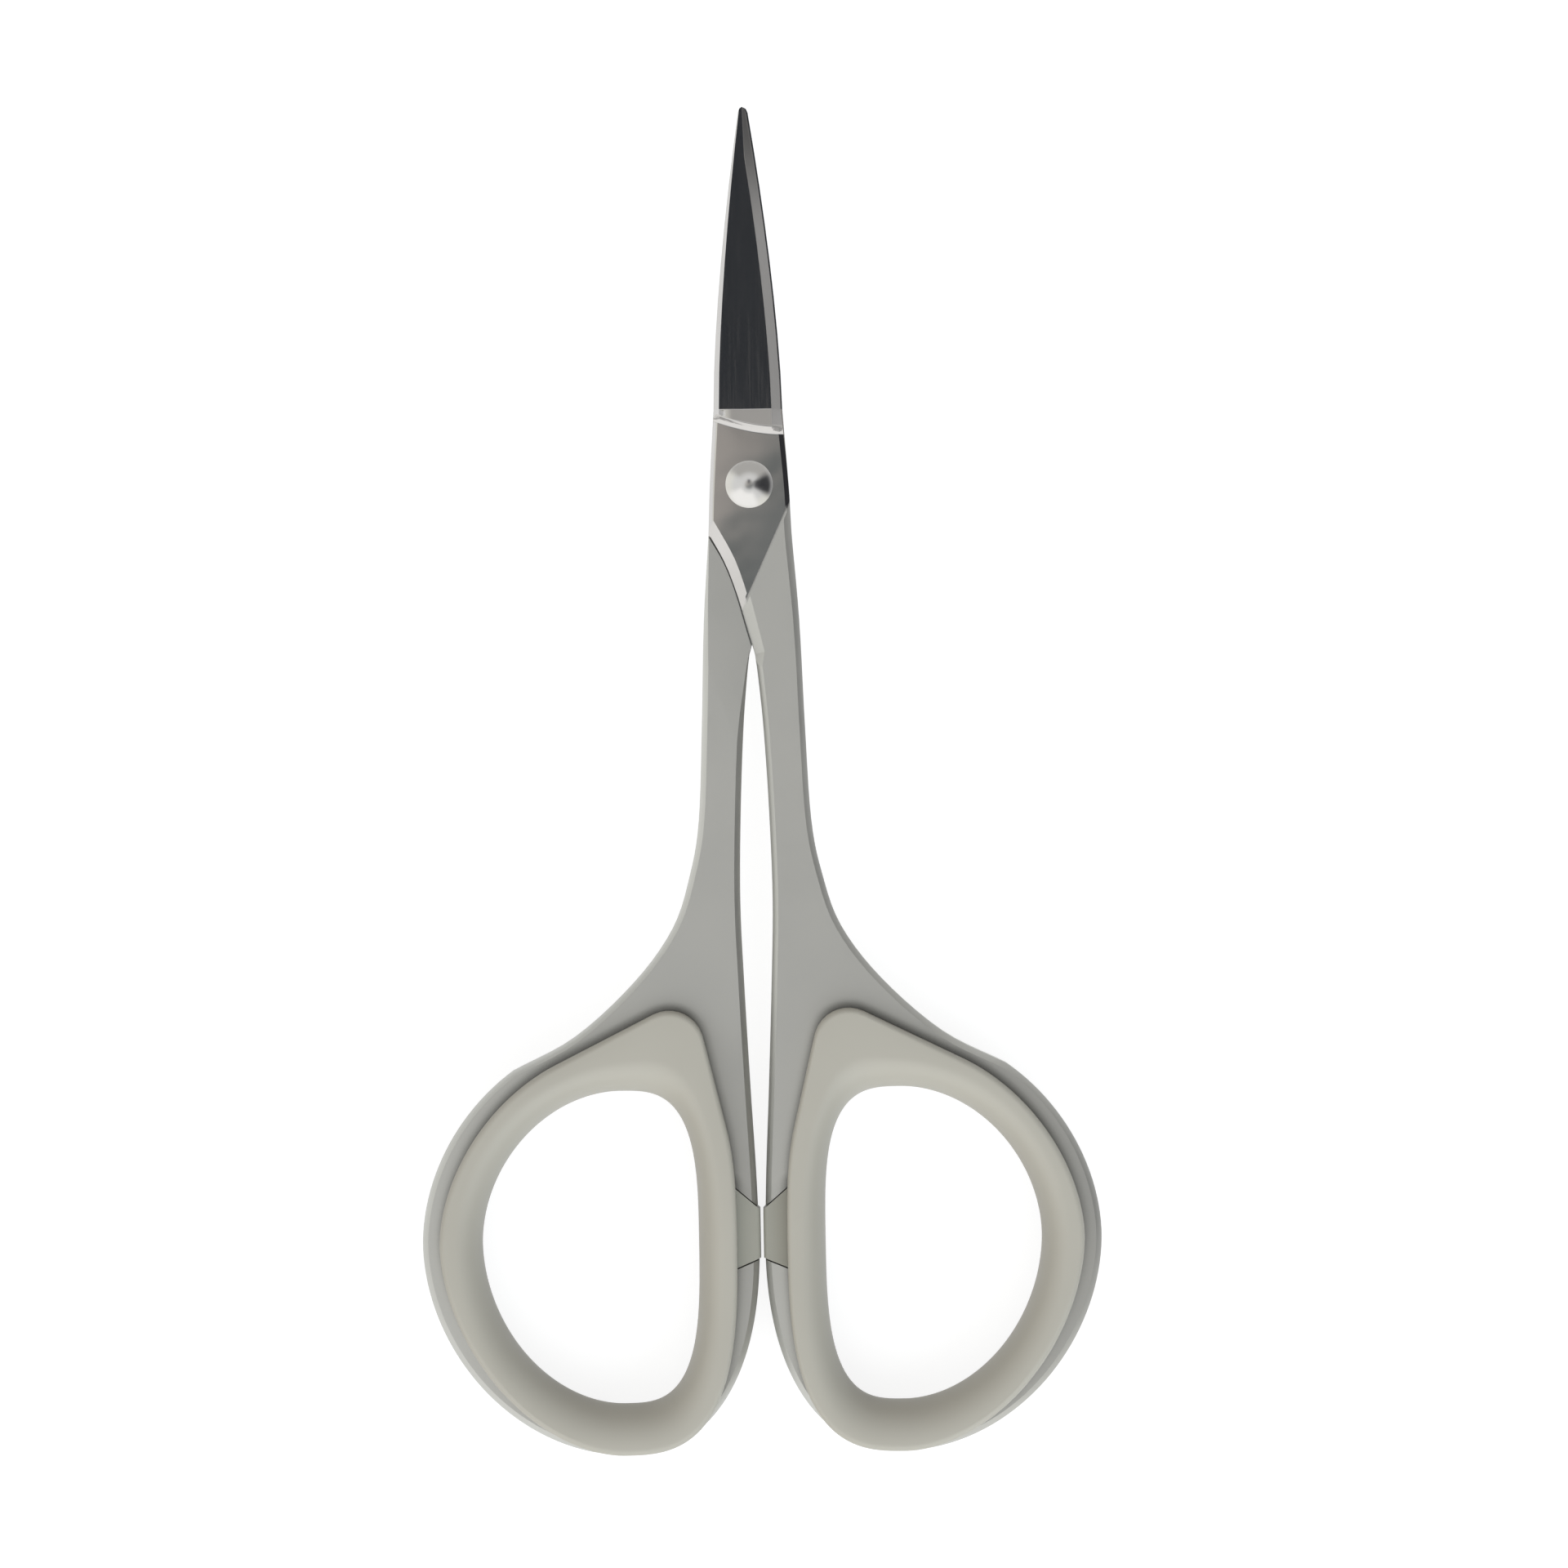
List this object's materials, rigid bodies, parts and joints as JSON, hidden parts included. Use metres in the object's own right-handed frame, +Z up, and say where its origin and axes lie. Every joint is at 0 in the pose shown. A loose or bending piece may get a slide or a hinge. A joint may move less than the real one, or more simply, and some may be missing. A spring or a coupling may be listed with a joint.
{
  "type": "eyebrow scissors",
  "caption": "Small straight-bladed grooming scissors: steel halves turning on a domed rivet, with soft finger inserts in closed bows and soft stops between them.",
  "frame": {"origin": "on the table, under the middle of the closed scissors", "axes": "+Y towards the blade tips, +X towards the bow of the front half, +Z up, along the rivet"},
  "size_m": [0.0502, 0.0996, 0.006],
  "materials": {
    "satin_steel": "satin shanks and bows, polished blades",
    "polished_steel": "polished",
    "soft_grey": "smooth, satin sheen"
  },
  "bodies": {
    "rear_half": {"rear_arm": "satin_steel", "left_finger_insert": "soft_grey", "left_stop": "soft_grey", "pivot_rivet": "polished_steel"},
    "front_half": {"front_arm": "satin_steel", "right_finger_insert": "soft_grey", "right_stop": "soft_grey"}
  },
  "joints": [
    {"name": "blade_pivot", "type": "hinge", "parent": "rear_half", "child": "front_half", "pos_m": [0, 0.0218, 0.003], "axis": [0, 0, 1], "range_deg": [0, 60]}
  ]
}
